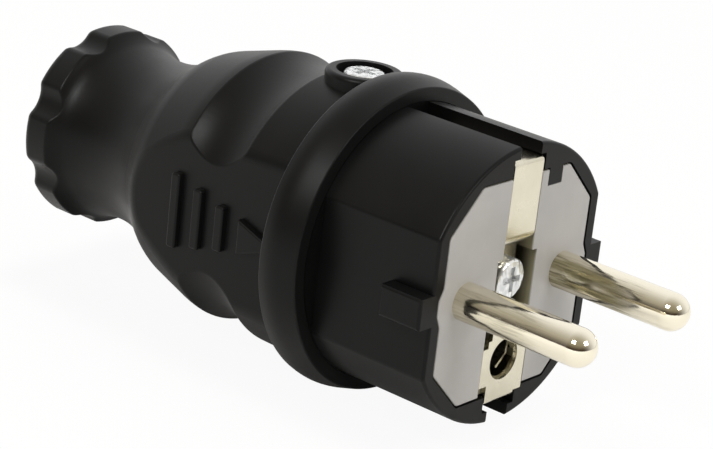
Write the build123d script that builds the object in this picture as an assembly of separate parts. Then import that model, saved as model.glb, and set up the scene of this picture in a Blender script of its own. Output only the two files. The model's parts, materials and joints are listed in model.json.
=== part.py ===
from build123d import *
import os

# Rewirable two-pole-and-earth plug, in millimetres.
# X runs along the pins, away from the cord; Y runs from pin to pin; Z is up.
# The origin is the centre of the engagement face, so the body lies at negative X.

# Clearances
fit_gap = 0.1
thread_gap = 0.05
gland_gap = 0.2
cut_overrun = 1.0

# Pins
pin_radius = 2.4
pin_reach = 19.0
pin_spacing = 19.0
shank_radius = 1.9
shoulder_radius = 4.0
shoulder_length = 2.0
post_radius = 3.4
post_length = 4.0

# Front section that enters the socket
insert_reach = 17.9
insert_radius = 18.05
insert_flat = 15.75
insert_corner = 1.0
insert_edge = 0.4
key_proud = 2.2
key_height = 4.0
key_round = 0.4
key_length = 6.3
channel_width = 6.2
channel_mouth = 4.1
channel_floor = 15.4
low_channel_floor = 14.8
lip_level = 16.4
flange_length = 4.1
bulkhead = 3.0

# Skirt of the front section, inside the housing
skirt_radius = 15.5
skirt_flat = 13.2
skirt_wall = 1.8
skirt_length = 9.0

# Contact carrier
carrier_depth = 9.0
carrier_top = 14.0
carrier_side = 13.8
carrier_gap = 0.25
carrier_round = 0.8
carrier_edge = 0.2
carrier_bulge = 0.7
bulge_tip = 1.0
bulge_root = 2.5
corner_cut = 5.3
locating_notch_y = 5.6
locating_notch_width = 2.6
locating_notch_depth = 2.0

# Earth strips
strip_thick = 0.6
strip_width = 5.7
strip_inset = 0.05
strip_run = 14.0
bend_inside = 0.3
edge_bend_inside = 0.1
step_bend_inside = 1.0
plate_width = 8.7
plate_step = 12.8
plate_corner = 14.7
neck_width = 5.6
neck_top = 7.7
leg_reach = 2.6
leg_clear = 1.3
recess_width = 7.7
recess_top = 5.6
recess_shoulder = 3.9
recess_bottom = 5.6
recess_depth = 3.6
foot_end = 3.6

# Hole for the socket's earth pin
earth_pin_z = -9.8
plate_hole_radius = 2.7
sleeve_bore_radius = 2.45
sleeve_wall = 0.3
sleeve_length = 7.0
sleeve_slit = 1.2

# Screws
thread_radius = 1.5
head_radius = 2.65
head_height = 1.5
head_round = 0.5
cross_length = 3.2
cross_width = 0.8
cross_depth = 0.9
centre_screw_z = 0.5
washer_thick = 0.5

# Terminals
terminal_width = 8.0
terminal_low = 3.0
terminal_screw_z = 7.6
terminal_high = 11.2
saddle_size = 7.0
saddle_thick = 1.0
terminal_thread_length = 3.2

# Housing, as lengths one after the other from the collar back
collar_length = 5.6
collar_radius = 20.65
collar_front_radius = 19.85
collar_back_radius = 20.35
collar_crest_setback = 3.7
collar_front_slope = 0.24
collar_back_slope = 0.25
collar_front_round = 0.25
collar_back_round = 0.4
barrel_length = 7.9
barrel_radius = 18.8
groove_length = 10.3
groove_radius = 17.2
groove_edge_round = 0.6
rear_crest_radius = 18.35
grip_length = 8.8
shoulder_ring_radius = 15.85
tail_length = 2.9
tail_radius = 13.85
tail_start_slope = 0.72
tail_end_slope = 0.6
crest_round = 1.6
housing_flat = 15.6
flat_round = 3.0
web_thick = 2.0
web_hole_radius = 6.5
cavity_end_gap = 1.4

# Screw boss on top of the housing
boss_setback = 3.4
boss_radius = 5.0
boss_proud = 1.1
boss_round = 0.6
boss_well_radius = 3.65
boss_well_depth = 1.7
nut_size = 5.5
nut_thick = 2.4
nut_cover = 1.0

# Raised marks on the side flats
mark_proud = 0.85
mark_round = 0.3
mark_drop = 0.45
bar_width = 1.5
bar_corner = 0.4
bar_count = 3
first_bar_length = 10.0
bar_shortening = 2.0
bar_pitch = 3.95
bar_setback = 10.8
arrow_length = 6.8
arrow_height = 4.6
arrow_setback = 0.7

# Cord clamp on the tail of the front section
clamp_length = 6.0
clamp_width = 22.0
cord_radius = 4.6
clamp_ear = 3.2
clamp_arch = 2.0
clamp_bar_length = 5.0
clamp_screw_inset = 2.3
clamp_screw_length = 9.0

# Gland
gland_bore_radius = 10.6
seal_length = 6.0
seal_bore_radius = 4.5
ring_thick = 1.2
ring_bore_radius = 5.2
nut_shoulder_radius = 13.8
nut_shoulder_slope = 0.58
nut_waist_radius = 11.45
nut_waist_length = 8.9
nut_flare_length = 4.8
nut_flare_radius = 12.1
nut_flare_slope = 0.3
nut_step_length = 2.2
nut_step_slope = 1.2
nut_rim_length = 4.5
nut_rim_radius = 13.65
nut_rim_front_round = 0.5
nut_bore_radius = 6.4
nut_mouth_radius = 9.4
nut_mouth_length = 7.0
nut_mouth_slope = 3.3
nut_rim_round = 1.3
lobe_count = 8
valley_radius = 3.4
valley_depth = 0.9
valley_round = 1.4
stop_gap = 0.03

# Stations along X that follow from the sizes above
x_bulkhead = -carrier_depth
x_bulkhead_back = x_bulkhead - bulkhead
x_collar = -insert_reach
x_flange_back = x_collar - flange_length
x_skirt_end = x_flange_back - skirt_length
x_clamp_end = x_skirt_end - clamp_length
x_collar_back = x_collar - collar_length
x_front_crest = x_collar_back - barrel_length
x_rear_crest = x_front_crest - groove_length
x_tail_shoulder = x_rear_crest - grip_length
x_tail = x_tail_shoulder - tail_length
x_cavity_end = x_clamp_end - cavity_end_gap
x_seal_front = x_cavity_end - web_thick
x_seal_back = x_seal_front - seal_length
x_ring_front = x_seal_back - fit_gap
x_ring_back = x_ring_front - ring_thick
x_nut_front = x_ring_back - fit_gap
x_nut_shoulder = x_tail - stop_gap
x_nut_waist = x_nut_shoulder - nut_waist_length
x_nut_flare = x_nut_waist - nut_flare_length
x_nut_rim = x_nut_flare - nut_step_length
x_nut_back = x_nut_rim - nut_rim_length
x_boss = x_collar_back - boss_setback
x_terminal_back = x_bulkhead_back - post_length
x_strip_face = -strip_inset - strip_thick / 2
x_upper_foot = -recess_depth + strip_thick * 1.5
x_lower_foot = -recess_depth + strip_thick / 2
x_washer = -recess_depth + strip_thick * 2
x_centre_head = x_washer + washer_thick
strip_z = channel_floor + fit_gap + strip_thick / 2
plate_z = -low_channel_floor - fit_gap - strip_thick / 2
boss_top = barrel_radius + boss_proud
clamp_screw_spacing = clamp_width - 2 * clamp_screw_inset
pin_places = {"left_pin": -pin_spacing / 2, "right_pin": pin_spacing / 2}
terminal_places = [(y, 0) for y in pin_places.values()] + [(0, terminal_screw_z)]


def prism(outline, x_back, x_front):
    """Extrude an outline drawn in the Y-Z plane from one station on X to another."""
    return extrude(Plane.YZ.offset(x_back) * outline, amount=x_front - x_back, dir=(1, 0, 0))


def rod(radius, x_back, x_front, y=0, z=0):
    """Round bar along X."""
    return prism(Pos(y, z) * Circle(radius), x_back, x_front)


def upright_rod(radius, x, y, z_low, z_high):
    """Round bar along Z."""
    return extrude(Plane.XY.offset(z_low) * Pos(x, y) * Circle(radius), amount=z_high - z_low)


def block(x_back, x_front, y_low, y_high, z_low, z_high):
    """Box between two corners."""
    size = (x_front - x_back, y_high - y_low, z_high - z_low)
    centre = Pos((x_back + x_front) / 2, (y_low + y_high) / 2, (z_low + z_high) / 2)
    return centre * Box(*size)


def flatted(radius, flat):
    """Circle with two upright flats."""
    return Circle(radius) & Rectangle(2 * flat, 2 * radius)


def turned(outline):
    """Revolve an outline of X and radius about the plug's axis."""
    return revolve(make_face(outline), axis=Axis.X)


def mirrored(shape):
    """A shape together with its mirror image across the X-Z plane."""
    return shape + mirror(shape, about=Plane.XZ)


def carrier_outline(grow):
    """Outline of the contact carrier: eight sides, round corners and a bulge at the level of the pins."""
    quarter = [
        (carrier_side - corner_cut, carrier_top),
        (carrier_side, carrier_top - corner_cut),
        (carrier_side, bulge_root),
        (carrier_side + carrier_bulge, bulge_tip),
    ]
    points = list(quarter)
    points += [(y, -z) for y, z in reversed(quarter)]
    points += [(-y, -z) for y, z in quarter]
    points += [(-y, z) for y, z in reversed(quarter)]
    outline = fillet(Polygon(*points, align=None).vertices(), carrier_round)
    return offset(outline, grow) if grow else outline


def locating_notch(grow):
    """Place of the shell's tab in the carrier's top edge."""
    width = locating_notch_width + 2 * grow
    low = carrier_top - locating_notch_depth - grow
    high = carrier_top + carrier_gap
    return Pos(locating_notch_y, (low + high) / 2) * Rectangle(width, high - low)


def screw(length):
    """Pan-head screw with a cross recess; the head's seat is at z = 0 and the thread points down."""
    head = Cylinder(head_radius, head_height, align=(Align.CENTER, Align.CENTER, Align.MIN))
    head = fillet(head.edges().group_by(Axis.Z)[-1], head_round)
    shank = Cylinder(thread_radius, length, align=(Align.CENTER, Align.CENTER, Align.MAX))
    cross = Rectangle(cross_length, cross_width) + Rectangle(cross_width, cross_length)
    recess = extrude(Plane.XY.offset(head_height) * cross, amount=-cross_depth)
    return head + shank - recess


def forward_screw(length, x, y, z):
    """Screw whose head faces the front."""
    return Plane(origin=(x, y, z), x_dir=(0, 1, 0), z_dir=(1, 0, 0)) * screw(length)


def rear_screw(length, x, y, z):
    """Screw whose head faces the cord."""
    return Plane(origin=(x, y, z), x_dir=(0, 1, 0), z_dir=(-1, 0, 0)) * screw(length)


def cavity_section(grow):
    return flatted(skirt_radius + grow, skirt_flat + grow)


def side_marks():
    """Three shortening bars and an arrow that points to the pins, on one flat."""
    seat = Plane(origin=(0, -housing_flat, -mark_drop), x_dir=(1, 0, 0), z_dir=(0, -1, 0))
    marks = Sketch()
    for index in range(bar_count):
        place = x_collar_back - bar_setback - index * bar_pitch
        shortfall = (bar_count - 1 - index) * bar_shortening
        marks += Pos(place, 0) * RectangleRounded(bar_width, first_bar_length - shortfall, bar_corner)
    tip = x_collar_back - arrow_setback
    tail = tip - arrow_length
    marks += make_face(Polyline((tip, 0), (tail, arrow_height / 2), (tail, -arrow_height / 2), close=True))
    raised = extrude(seat * marks, amount=mark_proud)
    raised = fillet(raised.edges().group_by(Axis.Y)[0], mark_round)
    return raised + extrude(seat * marks, amount=-mark_proud)


def softened(x, radius, slope_in, slope_out):
    """Two points, with their slopes, that take a turned outline round a soft corner on its way back."""
    before = (x + crest_round, radius - slope_in * crest_round)
    after = (x - crest_round, radius + slope_out * crest_round)
    return [(before, slope_in), (after, slope_out)]


def finger_groove():
    """Ring with a round section that cuts the grip's groove and leaves its two crests."""
    half = groove_length / 2
    depth = (barrel_radius + rear_crest_radius) / 2 - groove_radius
    section_radius = (half**2 + depth**2) / (2 * depth)
    middle = Pos(x_front_crest - half, groove_radius + section_radius)
    return revolve(middle * Circle(section_radius), axis=Axis.X)


def make_collar():
    """Crowned ring at the front of the housing; its crest lies behind the middle of its length."""
    crown = Spline(
        (x_collar, collar_front_radius),
        (x_collar - collar_crest_setback, collar_radius),
        (x_collar_back, collar_back_radius),
        tangents=[(-1, collar_front_slope), (-1, 0), (-1, -collar_back_slope)],
    )
    closing = Polyline(
        (x_collar_back, collar_back_radius),
        (x_collar_back, skirt_radius),
        (x_collar, skirt_radius),
        (x_collar, collar_front_radius),
    )
    collar = turned(crown + closing)
    rims = collar.edges().filter_by(GeomType.CIRCLE)
    collar = fillet(rims.group_by(Axis.X)[-1].sort_by(SortBy.RADIUS)[-1], collar_front_round)
    rims = collar.edges().filter_by(GeomType.CIRCLE)
    return fillet(rims.group_by(Axis.X)[0].sort_by(SortBy.RADIUS)[-1], collar_back_round)


def make_housing():
    x_tuck = x_collar - collar_length / 2
    barrel_slope = (barrel_radius - rear_crest_radius) / (x_tuck - x_rear_crest)
    grip_slope = (rear_crest_radius - shoulder_ring_radius) / grip_length
    knots = [((x_tuck, barrel_radius), -barrel_slope)]
    knots += softened(x_rear_crest, rear_crest_radius, -barrel_slope, -grip_slope)
    knots += softened(x_tail_shoulder, shoulder_ring_radius, -grip_slope, -tail_start_slope)
    knots += [((x_tail, tail_radius), -tail_end_slope)]
    crown = Spline(*[point for point, slope in knots], tangents=[(-1, slope) for point, slope in knots])
    closing = Polyline((x_tail, tail_radius), (x_tail, 0), (x_tuck, 0), (x_tuck, barrel_radius))
    body = turned(crown + closing)
    wide = 2 * collar_radius
    body -= mirrored(block(x_tail, x_tuck, -wide, -housing_flat, -wide, wide))
    flat_edges = body.edges().filter_by(lambda edge: abs(abs(edge.center().Y) - housing_flat) < fit_gap)
    body = fillet(flat_edges, flat_round)
    ring = finger_groove()
    grooved = body - ring
    body = fillet(new_edges(body, ring, combined=grooved), groove_edge_round)
    body += make_collar()
    boss = upright_rod(boss_radius, x_boss, 0, skirt_radius, boss_top)
    body += fillet(boss.edges().group_by(Axis.Z)[-1], boss_round)
    body += mirrored(side_marks())
    body -= rod(insert_radius + fit_gap, x_flange_back - fit_gap, x_collar)
    body -= prism(cavity_section(fit_gap), x_cavity_end, x_flange_back)
    body -= rod(web_hole_radius, x_seal_front, x_cavity_end)
    body -= rod(gland_bore_radius, x_tail, x_seal_front)
    body -= upright_rod(boss_well_radius, x_boss, 0, boss_top - boss_well_depth, boss_top)
    body -= upright_rod(thread_radius + fit_gap, x_boss, 0, 0, boss_top)
    return body


def make_front_shell():
    section = fillet(flatted(insert_radius, insert_flat).vertices(), insert_corner)
    front = prism(section, x_collar, 0)
    front = fillet(front.edges().group_by(Axis.X)[-1], insert_edge)
    key = block(-key_length, 0, carrier_side, insert_flat + key_proud, -key_height / 2, key_height / 2)
    key = fillet(key.edges().group_by(Axis.Y)[-1], key_round)
    shell = front + mirrored(key)
    shell += rod(insert_radius, x_flange_back, x_collar)
    shell += prism(cavity_section(0), x_skirt_end, x_flange_back)
    shell -= prism(carrier_outline(carrier_gap), x_bulkhead, 0)
    shell += prism(locating_notch(0), x_bulkhead, 0)
    shell -= prism(carrier_outline(0), x_flange_back + skirt_wall, x_bulkhead_back)
    inside = flatted(skirt_radius - skirt_wall, skirt_flat - skirt_wall)
    shell -= prism(inside, x_skirt_end, x_flange_back + skirt_wall)
    rim_depth = strip_inset + strip_thick + fit_gap
    for side, floor_level in ((1, channel_floor), (-1, low_channel_floor)):
        floor = sorted((side * floor_level, side * lip_level))
        mouth = sorted((side * lip_level, side * (insert_radius + cut_overrun)))
        rim = sorted((side * (carrier_top - cut_overrun), side * lip_level))
        shell -= block(x_collar, 0, -channel_width / 2, channel_width / 2, *floor)
        shell -= block(x_collar, 0, -channel_mouth / 2, channel_mouth / 2, *mouth)
        shell -= block(-rim_depth, 0, -channel_width / 2, channel_width / 2, *rim)
    half_plate = plate_width / 2 + fit_gap
    shell -= block(-rim_depth, 0, 0, half_plate, -plate_corner - fit_gap, -carrier_top + cut_overrun)
    for y in pin_places.values():
        shell -= rod(post_radius + fit_gap, x_bulkhead_back, x_bulkhead, y)
    shell -= rod(thread_radius + fit_gap, x_bulkhead_back, x_bulkhead, 0, centre_screw_z)
    shell -= rod(sleeve_bore_radius + sleeve_wall + fit_gap, x_bulkhead_back, x_bulkhead, 0, earth_pin_z)
    return shell + make_clamp_saddle() + make_nut_holder() - make_shell_holes()


def make_clamp_saddle():
    """Lower half of the cord clamp, standing out behind the skirt."""
    x_front = x_skirt_end + skirt_wall
    half = block(x_clamp_end, x_front, -clamp_width / 2, clamp_width / 2, -skirt_radius, 0)
    saddle = half & prism(cavity_section(0), x_clamp_end, x_front)
    return saddle - rod(cord_radius, x_clamp_end, x_front)


def make_nut_holder():
    """Block under the top of the skirt that holds the captive nut."""
    half = nut_size / 2 + skirt_wall
    low = skirt_radius - skirt_wall - nut_cover - nut_thick - skirt_wall
    holder = block(x_boss - half, x_boss + half, -half, half, low, skirt_radius)
    return holder & prism(cavity_section(0), x_boss - half, x_boss + half)


def make_shell_holes():
    """Clamp screw holes, and the pocket and hole for the housing screw and its nut."""
    holes = Part()
    for y in (-clamp_screw_spacing / 2, clamp_screw_spacing / 2):
        x_clamp = (x_clamp_end + x_skirt_end) / 2
        holes += upright_rod(thread_radius + thread_gap, x_clamp, y, -clamp_screw_length, 0)
    half = nut_size / 2 + fit_gap
    top = skirt_radius - skirt_wall - nut_cover
    holes += block(x_boss - half - skirt_wall, x_boss + half, -half, half, top - nut_thick - fit_gap, top)
    holes += upright_rod(thread_radius + thread_gap, x_boss, 0, 0, skirt_radius)
    return holes


def make_contact_carrier():
    carrier = prism(carrier_outline(0), x_bulkhead, 0)
    carrier = fillet(carrier.edges().group_by(Axis.X)[-1], carrier_edge)
    carrier -= prism(locating_notch(fit_gap), x_bulkhead, 0)
    groove = strip_inset + strip_thick + fit_gap
    half_strip = strip_width / 2 + fit_gap
    half_plate = plate_width / 2 + fit_gap
    carrier -= block(-groove, 0, -half_strip, half_strip, recess_top - fit_gap, carrier_top)
    carrier -= block(-groove, 0, -half_plate, half_plate, -carrier_top, -recess_bottom + leg_clear / 2)
    carrier -= block(-recess_depth, 0, -half_strip, half_strip, 0, recess_top + step_bend_inside)
    carrier -= block(-recess_depth, 0, -recess_width / 2, recess_width / 2, -recess_bottom, recess_shoulder)
    slot_depth = strip_inset + leg_reach + fit_gap
    slot_top = -recess_bottom + leg_clear / 2
    slot = block(-slot_depth, 0, neck_width / 2 - fit_gap, half_plate, -neck_top, slot_top)
    carrier -= mirrored(slot)
    for y in pin_places.values():
        carrier -= rod(shank_radius + thread_gap, x_bulkhead, 0, y)
        carrier -= rod(shoulder_radius + fit_gap, x_bulkhead, x_bulkhead + shoulder_length + fit_gap, y)
    carrier -= rod(thread_radius + fit_gap, x_bulkhead, 0, 0, centre_screw_z)
    carrier -= rod(sleeve_bore_radius + sleeve_wall + fit_gap, x_bulkhead, 0, 0, earth_pin_z)
    return carrier


def make_pin(y):
    blade = rod(pin_radius, 0, pin_reach - pin_radius, y)
    shank = rod(shank_radius, x_bulkhead, 0, y)
    tip = Pos(pin_reach - pin_radius, y, 0) * Sphere(pin_radius)
    shoulder = rod(shoulder_radius, x_bulkhead, x_bulkhead + shoulder_length, y)
    post = rod(post_radius, x_terminal_back, x_bulkhead, y)
    thread_end = x_terminal_back + terminal_thread_length + thread_gap
    hole = rod(thread_radius + thread_gap, x_terminal_back, thread_end, y)
    return blade + shank + tip + shoulder + post - hole


def swept_strip(points, bends, width):
    """Strip of even thickness along points in the X-Z plane, with the inside radius of each bend."""
    radii = [bend + strip_thick / 2 for bend in bends]
    path = FilletPolyline(*[(x, 0, z) for x, z in points], radius=radii)
    section = Plane(origin=path @ 0, x_dir=(0, 1, 0), z_dir=path % 0) * Rectangle(width, strip_thick)
    return sweep(section, path=path)


def make_upper_earth_strip():
    step_z = recess_top - fit_gap - strip_thick / 2
    route = [
        (-strip_run, strip_z),
        (x_strip_face, strip_z),
        (x_strip_face, step_z),
        (x_upper_foot, step_z),
        (x_upper_foot, -foot_end + centre_screw_z),
    ]
    strip = swept_strip(route, [edge_bend_inside, step_bend_inside, bend_inside], strip_width)
    return strip - rod(thread_radius + fit_gap, -recess_depth, 0, 0, centre_screw_z)


def make_lower_earth_strip():
    step_z = -recess_bottom + fit_gap + strip_thick / 2
    route = [
        (-strip_run, plate_z),
        (x_strip_face, plate_z),
        (x_strip_face, step_z),
        (x_lower_foot, step_z),
        (x_lower_foot, foot_end + centre_screw_z),
    ]
    strip = swept_strip(route, [edge_bend_inside, bend_inside, bend_inside], plate_width)
    reach = plate_width
    half_plate = plate_width / 2
    half_strip = strip_width / 2
    half_neck = neck_width / 2
    x_back = -strip_run - strip_thick
    strip -= mirrored(block(x_back, 0, half_neck, half_plate, -neck_top, foot_end + reach))
    strip -= block(x_back, 0, -half_plate, -half_strip, plate_z - reach, -plate_step)
    strip -= block(x_back, 0, half_strip, half_plate, plate_z - reach, -plate_corner)
    leg_top = -recess_bottom + fit_gap
    x_leg_back = -strip_inset - leg_reach
    leg_edge = half_neck + strip_thick
    leg = block(x_leg_back, -strip_inset, half_neck, leg_edge, -neck_top, leg_top - leg_clear)
    strip += mirrored(leg)
    strip -= rod(plate_hole_radius, -recess_depth / 2, 0, 0, earth_pin_z)
    return strip - rod(thread_radius + fit_gap, -recess_depth, 0, 0, centre_screw_z)


def make_earth_sleeve():
    """Split spring sleeve that grips the socket's earth pin."""
    x_front = -strip_inset - strip_thick
    x_back = x_front - sleeve_length
    outer = sleeve_bore_radius + sleeve_wall
    sleeve = rod(outer, x_back, x_front, 0, earth_pin_z)
    sleeve -= rod(sleeve_bore_radius, x_back, x_front, 0, earth_pin_z)
    slit_low = earth_pin_z - sleeve_slit / 2
    return sleeve - block(x_back, x_front, 0, 2 * outer, slit_low, slit_low + sleeve_slit)


def make_earth_terminal():
    half = terminal_width / 2
    body = block(x_terminal_back, x_bulkhead_back, -half, half, -terminal_low, terminal_high)
    body -= rod(thread_radius + thread_gap, x_terminal_back, x_bulkhead_back, 0, centre_screw_z)
    thread_end = x_terminal_back + terminal_thread_length + thread_gap
    return body - rod(thread_radius + thread_gap, x_terminal_back, thread_end, 0, terminal_screw_z)


def make_centre_screw():
    return forward_screw(x_centre_head - x_terminal_back, x_centre_head, 0, centre_screw_z)


def make_lock_washer():
    washer = rod(head_radius, x_washer, x_centre_head, 0, centre_screw_z)
    return washer - rod(thread_radius + fit_gap, x_washer, x_centre_head, 0, centre_screw_z)


def make_wire_clamps():
    x_back = x_terminal_back - saddle_thick
    clamps = []
    for y, z in terminal_places:
        square = Pos(y, z) * RectangleRounded(saddle_size, saddle_size, saddle_thick)
        saddle = prism(square, x_back, x_terminal_back)
        clamps.append(saddle - rod(thread_radius + fit_gap, x_back, x_terminal_back, y, z))
    return Compound(children=clamps)


def make_terminal_screws():
    length = saddle_thick + terminal_thread_length
    seat = x_terminal_back - saddle_thick
    return Compound(children=[rear_screw(length, seat, y, z) for y, z in terminal_places])


def make_housing_screw():
    seat = boss_top - boss_well_depth
    nut_bottom = skirt_radius - skirt_wall - nut_cover - nut_thick
    return Pos(x_boss, 0, seat) * screw(seat - nut_bottom)


def make_housing_nut():
    top = skirt_radius - skirt_wall - nut_cover
    half = nut_size / 2
    nut = block(x_boss - half, x_boss + half, -half, half, top - nut_thick, top)
    return nut - upright_rod(thread_radius + thread_gap, x_boss, 0, 0, skirt_radius)


def make_cord_clamp_bar():
    x_clamp = (x_clamp_end + x_skirt_end) / 2
    x_back = x_clamp - clamp_bar_length / 2
    x_front = x_clamp + clamp_bar_length / 2
    ears = block(x_back, x_front, -clamp_width / 2, clamp_width / 2, 0, clamp_ear)
    arch = rod(cord_radius + clamp_arch, x_back, x_front)
    arch &= block(x_back, x_front, -clamp_width, clamp_width, 0, clamp_width)
    bar = ears + arch - rod(cord_radius, x_back, x_front)
    for y in (-clamp_screw_spacing / 2, clamp_screw_spacing / 2):
        bar -= upright_rod(thread_radius + fit_gap, x_clamp, y, 0, clamp_ear)
    return bar


def make_cord_clamp_screws():
    x_clamp = (x_clamp_end + x_skirt_end) / 2
    sides = (-clamp_screw_spacing / 2, clamp_screw_spacing / 2)
    length = clamp_ear + clamp_screw_length
    return Compound(children=[Pos(x_clamp, y, clamp_ear) * screw(length) for y in sides])


def make_cable_seal():
    seal = rod(gland_bore_radius - fit_gap, x_seal_back, x_seal_front)
    return seal - rod(seal_bore_radius, x_seal_back, x_seal_front)


def make_clamp_ring():
    ring = rod(gland_bore_radius - gland_gap, x_ring_back, x_ring_front)
    return ring - rod(ring_bore_radius, x_ring_back, x_ring_front)


def lobed_outline():
    """Finger grip of the gland nut: a circle with evenly spaced shallow valleys."""
    grip = Circle(nut_rim_radius)
    valley_centre = nut_rim_radius - valley_depth + valley_radius
    grip -= PolarLocations(valley_centre, lobe_count, start_angle=180 / lobe_count) * Circle(valley_radius)
    return fillet(grip.vertices(), valley_round)


def make_gland_nut():
    neck_radius = gland_bore_radius - gland_gap
    flare = Spline(
        (x_nut_shoulder, nut_shoulder_radius),
        (x_nut_waist, nut_waist_radius),
        (x_nut_flare, nut_flare_radius),
        (x_nut_rim, nut_rim_radius),
        tangents=[(-1, -nut_shoulder_slope), (-1, 0), (-1, nut_flare_slope), (-1, nut_step_slope)],
    )
    closing = Polyline(
        (x_nut_rim, nut_rim_radius),
        (x_nut_back, nut_rim_radius),
        (x_nut_back, 0),
        (x_nut_front, 0),
        (x_nut_front, neck_radius),
        (x_nut_shoulder, neck_radius),
        (x_nut_shoulder, nut_shoulder_radius),
    )
    nut = turned(flare + closing)
    valleys = Circle(2 * nut_rim_radius) - lobed_outline()
    nut -= prism(valleys, x_nut_back, x_nut_waist)
    rim_front = x_nut_rim - nut_rim_front_round
    step_edges = nut.edges().filter_by(lambda edge: rim_front < edge.center().X < x_nut_flare)
    nut = fillet(step_edges, nut_rim_front_round)
    nut = fillet(nut.edges().group_by(Axis.X)[0], nut_rim_round)
    nut -= rod(nut_bore_radius, x_nut_back, x_nut_front)
    x_mouth = x_nut_back + nut_mouth_length
    mouth_curve = Spline(
        (x_mouth, nut_bore_radius),
        (x_nut_back, nut_mouth_radius),
        tangents=[(-1, 0), (-1, nut_mouth_slope)],
    )
    mouth_closing = Polyline(
        (x_nut_back, nut_mouth_radius), (x_nut_back, 0), (x_mouth, 0), (x_mouth, nut_bore_radius)
    )
    return nut - turned(mouth_curve + mouth_closing)


parts = {
    "housing": make_housing(),
    "front_shell": make_front_shell(),
    "contact_carrier": make_contact_carrier(),
    "upper_earth_strip": make_upper_earth_strip(),
    "lower_earth_strip": make_lower_earth_strip(),
    "earth_sleeve": make_earth_sleeve(),
    "earth_terminal": make_earth_terminal(),
    "centre_screw": make_centre_screw(),
    "lock_washer": make_lock_washer(),
    "wire_clamps": make_wire_clamps(),
    "terminal_screws": make_terminal_screws(),
    "housing_screw": make_housing_screw(),
    "housing_nut": make_housing_nut(),
    "cord_clamp_bar": make_cord_clamp_bar(),
    "cord_clamp_screws": make_cord_clamp_screws(),
    "cable_seal": make_cable_seal(),
    "clamp_ring": make_clamp_ring(),
    "gland_nut": make_gland_nut(),
}
for name, y in pin_places.items():
    parts[name] = make_pin(y)

os.makedirs("parts", exist_ok=True)
for name, shape in parts.items():
    export_step(shape, f"parts/{name}.step")
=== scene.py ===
"""Looks of a rewirable earthed mains plug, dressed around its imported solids.

Everything is in metres, in the plug's own frame: X along the pins, Y from pin to pin, Z up.
"""

import json
import math

import bmesh
import bpy
from mathutils import Matrix, Vector


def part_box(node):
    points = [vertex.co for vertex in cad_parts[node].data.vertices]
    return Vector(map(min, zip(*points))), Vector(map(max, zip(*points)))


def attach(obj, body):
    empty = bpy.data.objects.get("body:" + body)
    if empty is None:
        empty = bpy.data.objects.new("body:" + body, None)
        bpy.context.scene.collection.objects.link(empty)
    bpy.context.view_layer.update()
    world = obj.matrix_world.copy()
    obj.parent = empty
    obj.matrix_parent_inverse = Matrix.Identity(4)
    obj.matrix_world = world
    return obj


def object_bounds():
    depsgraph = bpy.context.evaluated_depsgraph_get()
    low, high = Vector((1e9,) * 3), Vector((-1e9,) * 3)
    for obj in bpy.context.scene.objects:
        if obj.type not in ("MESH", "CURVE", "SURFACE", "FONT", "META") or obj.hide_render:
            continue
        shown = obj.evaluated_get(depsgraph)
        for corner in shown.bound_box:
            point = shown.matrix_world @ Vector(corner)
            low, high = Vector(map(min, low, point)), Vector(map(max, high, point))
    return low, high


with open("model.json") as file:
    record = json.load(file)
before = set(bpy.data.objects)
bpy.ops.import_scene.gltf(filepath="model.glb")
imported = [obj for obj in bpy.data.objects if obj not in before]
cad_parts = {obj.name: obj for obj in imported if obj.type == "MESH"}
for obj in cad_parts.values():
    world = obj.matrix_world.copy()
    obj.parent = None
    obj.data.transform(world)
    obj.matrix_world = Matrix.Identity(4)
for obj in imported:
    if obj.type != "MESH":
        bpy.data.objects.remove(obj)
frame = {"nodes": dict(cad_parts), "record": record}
cad_low, cad_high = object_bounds()

MM = 0.001

# Camera, fitted to the pins
CAMERA_AZIMUTH = math.radians(39.02)
CAMERA_ELEVATION = math.radians(19.66)
CAMERA_ROLL = math.radians(6.47)
CAMERA_DISTANCE = 300.0 * MM
CAMERA_RIGHT = -19.08 * MM
CAMERA_UP = 7.29 * MM
CAMERA_LENS = 124.98
CAMERA_SENSOR = 36.0
CAMERA_NEAR = 10 * MM
CAMERA_FAR = 50.0

# White floor, with a painted shade patch under the plug that fades over these spans
FLOOR_DROP = 0.5 * MM
FLOOR_SIZE = 6.0
FLOOR_GREY = 0.92
FLOOR_WHITENESS = 0.94
FLOOR_MIRRORED = 0.04
SHADE_GREY = 0.3
SHADE_SIDE = (9 * MM, 19 * MM)
SHADE_FRONT = (-8 * MM, 0.0)
SHADE_BACK = (cad_low.x - 8 * MM, cad_low.x)

# Room, which shows only in reflections: a dim wall in front, a white one behind to the right
FRONT_SKIRTING = (0.05, 0.032, 0.022, 1.0)
FRONT_WALL = (0.32, 0.285, 0.205, 1.0)
BACK_WALL = (1.02, 1.02, 1.02, 1.0)
SKIRTING_FADE = (0.02, 0.6)
WALL_FADE = (-0.8, 0.8)
BACK_WALL_RIGHT = 0.9
BACK_WALL_BEHIND = 0.43

# Lamps: place, width, height and power
LEFT_LAMP = ((0.03, -0.58, 0.54), 0.26, 0.22, 3.4)
RIGHT_LAMP = ((0.62, 0.02, 0.46), 0.26, 0.24, 1.55)

# Black rubber and nylon
BLACK_SHADE = 0.0025
BLACK_GLOSS = 0.16
BLOOM_SPREAD = 0.4
DUST_GREY = 0.3
DUST_COVER = 0.05

# Recess in the grey carrier, with painted shade that darkens over these depths
RECESS_EDGE = (-0.3 * MM, -0.05 * MM)
RECESS_DEPTH = (-2.4 * MM, -0.3 * MM)
RECESS_PAINTED_SHADE = (0.19, 0.175, 0.11, 1)
DEEP_PAINTED_SHADE = (0.02, 0.018, 0.008, 1)
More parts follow.
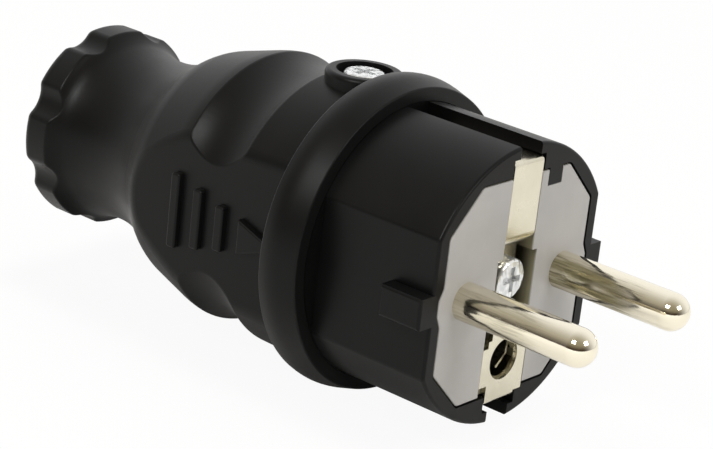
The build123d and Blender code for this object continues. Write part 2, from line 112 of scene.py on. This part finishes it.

# Nickel on the pins, with an olive band on the left side out from the face, partly wear and partly
# a painted dark reflection, which fades over these spans
CLEAN_NICKEL = (0.91, 0.85, 0.70, 1)
WORN_SHADED_NICKEL = (0.42, 0.38, 0.24, 1)
SCRATCHED_NICKEL = (0.20, 0.18, 0.11, 1)
WORN_SHADED_REACH = (9 * MM, 15 * MM)
WORN_SHADED_SIDE = (-1.5 * MM, -0.5 * MM)
LEFT_PIN_WEAR_AND_SHADE = 0.35
RIGHT_PIN_WEAR_AND_SHADE = 1.0

# Light and dark shades of the other metals
SHEET_SHADES = ((0.76, 0.72, 0.59, 1), (0.71, 0.67, 0.54, 1))
# Darker copy of the sheet's shades for the earth sleeve deep in its hole: painted shade
SLEEVE_SHADED_SHADES = ((0.20, 0.18, 0.12, 1), (0.10, 0.09, 0.06, 1))
ZINC_SHADES = ((0.93, 0.94, 0.95, 1), (0.66, 0.68, 0.69, 1))
BRASS_SHADES = ((0.84, 0.64, 0.30, 1), (0.70, 0.50, 0.20, 1))

# Earth-pin contact
EARTH_PIN_Z = -9.8 * MM
LEAF_FRONT = -1.2 * MM
LEAF_BACK = -6.0 * MM
LEAF_THICK = 0.38 * MM
LEAF_BENDS = [(1.85 * MM, 1.5 * MM), (1.75 * MM, 0.0), (0.05 * MM, -1.45 * MM)]

# Gland thread
THREAD_PITCH = 1.5 * MM
THREAD_PROUD = 0.17 * MM
THREAD_SUNK = THREAD_PROUD / 2
THREAD_ROOT_HALF = THREAD_PITCH * 0.3
THREAD_CREST_HALF = THREAD_ROOT_HALF / 3
THREAD_SEGMENTS = 48


class Value:
    """A value on its way through a material; arithmetic on it adds Math nodes."""

    def __init__(self, finish, socket):
        self.finish = finish
        self.socket = socket

    def math(self, operation, *terms):
        return self.finish.node("ShaderNodeMath", {"operation": operation}, terms)

    def __add__(self, other):
        return self.math("ADD", self, other)

    def __radd__(self, other):
        return self.math("ADD", other, self)

    def __sub__(self, other):
        return self.math("SUBTRACT", self, other)

    def __rsub__(self, other):
        return self.math("SUBTRACT", other, self)

    def __mul__(self, other):
        return self.math("MULTIPLY", self, other)

    def __rmul__(self, other):
        return self.math("MULTIPLY", other, self)

    def eased(self, low, high):
        """0 below low, 1 above high and a smooth rise between them."""
        settings = {"interpolation_type": "SMOOTHSTEP"}
        inputs = {"Value": self, "From Min": low, "From Max": high}
        return self.finish.node("ShaderNodeMapRange", settings, inputs)


class Finish:
    """One procedural material, or the world, and the nodes that it is made of."""

    def __init__(self, name, world=None):
        self.material = world or bpy.data.materials.new(name)
        self.material.use_nodes = True
        self.tree = self.material.node_tree

    def node(self, kind, settings=None, inputs=(), output=0):
        """Add one node: its settings first, then the values or links of its sockets."""
        made = self.tree.nodes.new(kind)
        for key, value in (settings or {}).items():
            setattr(made, key, value)
        pairs = inputs.items() if isinstance(inputs, dict) else enumerate(inputs)
        for key, value in pairs:
            self.feed(made.inputs[key], value)
        return Value(self, made.outputs[output])

    def feed(self, socket, value):
        """Link a socket to a value, or set it to a constant."""
        if isinstance(value, Value):
            self.tree.links.new(value.socket, socket)
        else:
            socket.default_value = value

    def place(self, stretch=(1, 1, 1)):
        """Object coordinates, stretched along the axes."""
        here = self.node("ShaderNodeTexCoord", output="Object")
        return self.node("ShaderNodeMapping", {}, {"Vector": here, "Scale": stretch})

    def axis(self, letter, coordinates="Object"):
        """One coordinate of the surface point, in metres, or of a direction in the world."""
        here = self.node("ShaderNodeTexCoord", output=coordinates)
        return self.node("ShaderNodeSeparateXYZ", {}, [here], letter)

    def noise(self, size, detail, stretch=(1, 1, 1)):
        """Soft random values about 0.5, with spots of the given size."""
        inputs = {"Vector": self.place(stretch), "Scale": 1 / size, "Detail": detail}
        return self.node("ShaderNodeTexNoise", {}, inputs)

    def specks(self, spacing):
        """Distance from the nearest of many scattered points, in spacings."""
        inputs = {"Vector": self.place(), "Scale": 1 / spacing}
        return self.node("ShaderNodeTexVoronoi", {}, inputs, "Distance")

    def blend(self, amount, first, second):
        """Mix of two colours."""
        settings = {"data_type": "RGBA"}
        made = self.node("ShaderNodeMix", settings, {"Factor": amount}, 2)
        ends = made.socket.node.inputs
        self.feed(ends[6], first)
        self.feed(ends[7], second)
        return made

    def relief(self, height, depth):
        """Surface normal that a height between 0 and 1 gives, for relief of the given depth."""
        return self.node("ShaderNodeBump", {}, {"Height": height, "Distance": depth})

    def ray_is(self, kind):
        """1 on rays of one kind, such as Camera or Glossy, and 0 on the others."""
        return self.node("ShaderNodeLightPath", output=f"Is {kind} Ray")

    def surface(self, **inputs):
        """Set the sockets of the material's main shader, named with _ for a space."""
        shader = self.tree.nodes["Principled BSDF"]
        for key, value in inputs.items():
            self.feed(shader.inputs[key.replace("_", " ")], value)
        return self.material


def grey(level, warmth=0.0):
    """Colour of one brightness, a little warmer or cooler than neutral."""
    return (level * (1 + warmth), level, level * (1 - warmth), 1.0)


def moulded_black(name, bloom, roughness, grain_size, grain_depth):
    """Black rubber or nylon with its mould's fine grain, soft clouding and a few specks of dust."""
    finish = Finish(name)
    clouds = finish.noise(size=9 * MM, detail=3.0)
    grain = finish.noise(size=grain_size, detail=3.0)
    scattered = finish.noise(size=4 * MM, detail=2.0).eased(0.5, 0.65)
    dust = (1 - finish.specks(1.6 * MM).eased(0.02, 0.05)) * scattered
    darker, lighter = grey(BLACK_SHADE * 0.8), grey(BLACK_SHADE * 1.2)
    tone = finish.blend(clouds.eased(0.3, 0.7), darker, lighter)
    tone = finish.blend(dust * DUST_COVER, tone, grey(DUST_GREY))
    return finish.surface(
        Base_Color=tone,
        Specular_IOR_Level=BLACK_GLOSS,
        Sheen_Weight=bloom,
        Sheen_Roughness=BLOOM_SPREAD,
        Roughness=roughness + (clouds - 0.5) * 0.12 + (grain - 0.5) * 0.08,
        Normal=finish.relief(grain, grain_depth),
    )


def grey_carrier():
    """Satin light grey plastic, faintly mottled by the moulding, with painted shade darkening its
    recess.
    """
    finish = Finish("grey_carrier")
    clouds = finish.noise(size=7 * MM, detail=3.0)
    grain = finish.noise(size=0.35 * MM, detail=2.0)
    along = finish.axis("X")
    darker, lighter = grey(0.38, warmth=0.02), grey(0.42, warmth=0.03)
    tone = finish.blend(clouds.eased(0.25, 0.75), darker, lighter)
    # Painted shade: olive near the recess edge and near black deeper in
    tone = finish.blend(1 - along.eased(*RECESS_EDGE), tone, RECESS_PAINTED_SHADE)
    tone = finish.blend(1 - along.eased(*RECESS_DEPTH), tone, DEEP_PAINTED_SHADE)
    return finish.surface(
        Base_Color=tone,
        Roughness=0.4 + (clouds - 0.5) * 0.1,
        Normal=finish.relief(grain, 0.006 * MM),
    )


def nickel_pin(name, node, wear_and_shade):
    """Polished nickel over brass, drawn lengthwise, with an olive band on its left side that is
    partly wear and partly a painted dark reflection.
    """
    finish = Finish(name)
    drawn = finish.noise(size=0.5 * MM, detail=4.0, stretch=(0.04, 1, 1))
    scuffs = finish.noise(size=0.8 * MM, detail=5.0, stretch=(0.1, 1, 1))
    lines = finish.noise(size=0.3 * MM, detail=2.0, stretch=(0.07, 1, 1))
    low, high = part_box(node)
    across = finish.axis("Y") - (low.y + high.y) / 2
    # Band on the left side near the face: partly wear, partly painted dark reflection
    worn_shaded_band = (1 - finish.axis("X").eased(*WORN_SHADED_REACH)) * (1 - across.eased(*WORN_SHADED_SIDE))
    worn_and_shaded = (scuffs + worn_shaded_band * 0.25).eased(0.55, 0.8) * worn_shaded_band * wear_and_shade
    scratches = lines.eased(0.55, 0.62) * worn_shaded_band * wear_and_shade
    tone = finish.blend(worn_and_shaded, CLEAN_NICKEL, WORN_SHADED_NICKEL)
    tone = finish.blend(scratches * 0.7, tone, SCRATCHED_NICKEL)
    return finish.surface(
        Base_Color=tone,
        Metallic=1.0,
        Roughness=0.08 + worn_and_shaded * 0.18 + (drawn - 0.5) * 0.06,
        Normal=finish.relief(drawn + scuffs * worn_and_shaded + scratches, 0.008 * MM),
    )


def nickel_sheet(name, light, dark):
    """Satin nickel-plated brass sheet with faint rolling lines, between two shades."""
    finish = Finish(name)
    rolled = finish.noise(size=0.3 * MM, detail=4.0, stretch=(1, 1, 0.05))
    clouds = finish.noise(size=3 * MM, detail=3.0)
    return finish.surface(
        Base_Color=finish.blend(clouds.eased(0.3, 0.7), dark, light),
        Metallic=1.0,
        Roughness=0.26 + (clouds - 0.5) * 0.12,
        Normal=finish.relief(rolled, 0.004 * MM),
    )


def zinc_steel(light, dark):
    """Bright zinc plate, dented by the driver."""
    finish = Finish("zinc_steel")
    dents = finish.noise(size=0.7 * MM, detail=1.0, stretch=(1, 1, 0.5))
    grain = finish.noise(size=0.2 * MM, detail=2.0)
    return finish.surface(
        Base_Color=finish.blend(dents.eased(0.35, 0.65), dark, light),
        Metallic=0.65,
        Roughness=0.14 + grain * 0.12,
        Normal=finish.relief(dents, 0.3 * MM),
    )


def bare_brass(light, dark):
    """Machined brass of the inner terminal."""
    finish = Finish("bare_brass")
    milled = finish.noise(size=0.25 * MM, detail=3.0, stretch=(1, 0.06, 1))
    return finish.surface(
        Base_Color=finish.blend(milled, dark, light),
        Metallic=1.0,
        Roughness=0.26 + milled * 0.1,
        Normal=finish.relief(milled, 0.006 * MM),
    )


def dress_solids(finishes):
    """Give each solid the finish of its material slot."""
    for entry in frame["record"]["subparts"]:
        node = frame["nodes"][entry["node"]]
        node.data.materials.clear()
        node.data.materials.append(finishes[entry["material_slot"]])


def add_mesh(name, shape, finish):
    """Turn a finished bmesh into an object with one finish."""
    mesh = bpy.data.meshes.new(name)
    shape.to_mesh(mesh)
    shape.free()
    mesh.materials.append(finish)
    made = bpy.data.objects.new(name, mesh)
    bpy.context.scene.collection.objects.link(made)
    return made


def add_piece(name, shape, finish, body):
    """Add a piece of the plug that rides on a body."""
    bmesh.ops.recalc_face_normals(shape, faces=shape.faces)
    piece = add_mesh(name, shape, finish)
    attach(piece, body)


def earth_leaf(finish):
    """Kinked spring leaf beside the earth-pin hole, which presses on the socket's pin."""
    shape = bmesh.new()
    path = [shape.verts.new((LEAF_FRONT, y, EARTH_PIN_Z + z)) for y, z in LEAF_BENDS]
    edges = [shape.edges.new(pair) for pair in zip(path, path[1:])]
    swept = bmesh.ops.extrude_edge_only(shape, edges=edges)["geom"]
    moved = [part for part in swept if isinstance(part, bmesh.types.BMVert)]
    bmesh.ops.translate(shape, verts=moved, vec=(LEAF_BACK - LEAF_FRONT, 0, 0))
    bmesh.ops.solidify(shape, geom=shape.faces[:], thickness=LEAF_THICK)
    add_piece("earth_leaf", shape, finish, "plug_body")


def gland_thread(finish):
    """Raised screw thread round the gland nut's neck."""
    neck_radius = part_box("clamp_ring")[1].y
    neck_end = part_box("housing")[0].x
    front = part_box("gland_nut")[1].x - THREAD_PITCH / 2
    turns = int((front - neck_end) / THREAD_PITCH)
    root = neck_radius - THREAD_SUNK
    crest = neck_radius + THREAD_PROUD
    profile = [
        (THREAD_ROOT_HALF, root),
        (THREAD_CREST_HALF, crest),
        (-THREAD_CREST_HALF, crest),
        (-THREAD_ROOT_HALF, root),
    ]
    shape = bmesh.new()
    ring = [shape.verts.new((front + x, 0, radius)) for x, radius in profile]
    edges = [shape.edges.new(pair) for pair in zip(ring, ring[1:] + ring[:1])]
    bmesh.ops.spin(
        shape,
        geom=ring + edges,
        axis=(-1, 0, 0),
        cent=(0, 0, 0),
        dvec=(-THREAD_PITCH / THREAD_SEGMENTS, 0, 0),
        angle=turns * 2 * math.pi,
        steps=turns * THREAD_SEGMENTS,
        use_duplicate=False,
    )
    bmesh.ops.holes_fill(shape, edges=shape.edges, sides=len(profile))
    add_piece("gland_thread", shape, finish, "gland_nut")


def floor_paint():
    """White where the camera looks; reflections show the true floor with the plug's shadow, and a
    painted shade patch under the plug.
    """
    finish = Finish("floor_paint")
    along, sideways = finish.axis("X"), finish.axis("Y")
    # Painted shade: a darker patch of floor colour under the plug's footprint
    beside = (sideways * sideways).eased(*(reach**2 for reach in SHADE_SIDE))
    under = (1 - along.eased(*SHADE_FRONT)) * along.eased(*SHADE_BACK)
    finish.surface(
        Base_Color=finish.blend((1 - beside) * under, grey(FLOOR_GREY), grey(SHADE_GREY)),
        Roughness=0.9,
        Specular_IOR_Level=0.0,
    )
    lit = Value(finish, finish.tree.nodes["Principled BSDF"].outputs["BSDF"])
    glow = finish.node("ShaderNodeEmission", {}, {"Color": grey(1.0), "Strength": 1.0})
    mirrored = finish.ray_is("Glossy") + finish.ray_is("Transmission")
    share = finish.ray_is("Camera") * FLOOR_WHITENESS + mirrored * FLOOR_MIRRORED
    mixed = finish.node("ShaderNodeMixShader", {}, [share, lit, glow])
    finish.feed(finish.tree.nodes["Material Output"].inputs["Surface"], mixed)
    return finish.material


def white_floor():
    """Floor just below the plug, which keeps its soft shadow."""
    shape = bmesh.new()
    bmesh.ops.create_grid(shape, x_segments=1, y_segments=1, size=FLOOR_SIZE / 2)
    bmesh.ops.translate(shape, verts=shape.verts, vec=(0, 0, cad_low.z - FLOOR_DROP))
    floor = add_mesh("floor", shape, floor_paint())


def studio_world():
    """Room from a dim warm wall to a white one behind on the right; the camera sees it white."""
    world = bpy.data.worlds.new("studio")
    bpy.context.scene.world = world
    finish = Finish("studio", world)
    ahead, rightwards, height = (finish.axis(letter, "Generated") for letter in "XYZ")
    far_right = rightwards * BACK_WALL_RIGHT - ahead * BACK_WALL_BEHIND
    front = finish.blend(height.eased(*SKIRTING_FADE), FRONT_SKIRTING, FRONT_WALL)
    room = finish.blend(far_right.eased(*WALL_FADE), front, BACK_WALL)
    shown = finish.blend(finish.ray_is("Camera"), room, grey(1.0))
    finish.feed(finish.tree.nodes["Background"].inputs["Color"], shown)


def soft_box(name, aim, place, width, height, power):
    """Rectangular lamp that points at a place on the plug."""
    lamp = bpy.data.lights.new(name, "AREA")
    lamp.shape = "RECTANGLE"
    lamp.size = width
    lamp.size_y = height
    lamp.energy = power
    box = bpy.data.objects.new(name, lamp)
    bpy.context.scene.collection.objects.link(box)
    box.location = place
    box.rotation_mode = "QUATERNION"
    box.rotation_quaternion = (aim - Vector(place)).to_track_quat("-Z", "Y")


def place_camera():
    """Camera at the photograph's angle, with its slight roll."""
    across = math.cos(CAMERA_ELEVATION)
    back = Vector(
        (
            math.sin(CAMERA_AZIMUTH) * across,
            -math.cos(CAMERA_AZIMUTH) * across,
            math.sin(CAMERA_ELEVATION),
        )
    )
    level = Vector((math.cos(CAMERA_AZIMUTH), math.sin(CAMERA_AZIMUTH), 0))
    upright = back.cross(level)
    right = level * math.cos(CAMERA_ROLL) + upright * math.sin(CAMERA_ROLL)
    up = upright * math.cos(CAMERA_ROLL) - level * math.sin(CAMERA_ROLL)
    place = right * CAMERA_RIGHT + up * CAMERA_UP + back * CAMERA_DISTANCE
    lens = bpy.data.cameras.new("camera")
    lens.lens = CAMERA_LENS
    lens.sensor_width = CAMERA_SENSOR
    lens.sensor_fit = "HORIZONTAL"
    lens.clip_start = CAMERA_NEAR
    lens.clip_end = CAMERA_FAR
    camera = bpy.data.objects.new("camera", lens)
    bpy.context.scene.collection.objects.link(camera)
    turn = Matrix((right, up, back)).transposed().to_4x4()
    camera.matrix_world = Matrix.Translation(place) @ turn
    bpy.context.scene.camera = camera


# Finishes of the solids
shell_black = moulded_black(
    "shell_black", bloom=0.03, roughness=0.38, grain_size=0.3 * MM, grain_depth=0.004 * MM
)
rubber_black = moulded_black(
    "rubber_black", bloom=0.075, roughness=0.4, grain_size=0.4 * MM, grain_depth=0.005 * MM
)
gland_black = moulded_black(
    "gland_black", bloom=0.065, roughness=0.4, grain_size=0.35 * MM, grain_depth=0.005 * MM
)
sheet = nickel_sheet("nickel_sheet", *SHEET_SHADES)
dress_solids(
    {
        "housing_rubber": rubber_black,
        "gland_plastic": gland_black,
        "shell_plastic": shell_black,
        "carrier_plastic": grey_carrier(),
        "nickel_plate": nickel_pin("nickel_pin", "left_pin", LEFT_PIN_WEAR_AND_SHADE),
        "strip_plate": sheet,
        "terminal_brass": bare_brass(*BRASS_SHADES),
        "zinc_steel": zinc_steel(*ZINC_SHADES),
        "seal_rubber": rubber_black,
    }
)
worn_shaded_pin = nickel_pin("worn_shaded_pin", "right_pin", RIGHT_PIN_WEAR_AND_SHADE)
frame["nodes"]["right_pin"].data.materials[0] = worn_shaded_pin
# Painted shade: the earth sleeve, deep in its hole, gets a darkened copy of the sheet
shaded_sleeve_sheet = nickel_sheet("shaded_sleeve_sheet", *SLEEVE_SHADED_SHADES)
frame["nodes"]["earth_sleeve"].data.materials[0] = shaded_sleeve_sheet

# Pieces that the solids leave out
earth_leaf(sheet)
gland_thread(gland_black)

# Stage, light and camera
white_floor()
studio_world()
plug_middle = (cad_low + cad_high) / 2
soft_box("left_light", plug_middle, *LEFT_LAMP)
soft_box("right_light", plug_middle, *RIGHT_LAMP)
place_camera()
bpy.context.scene.view_settings.view_transform = "Standard"
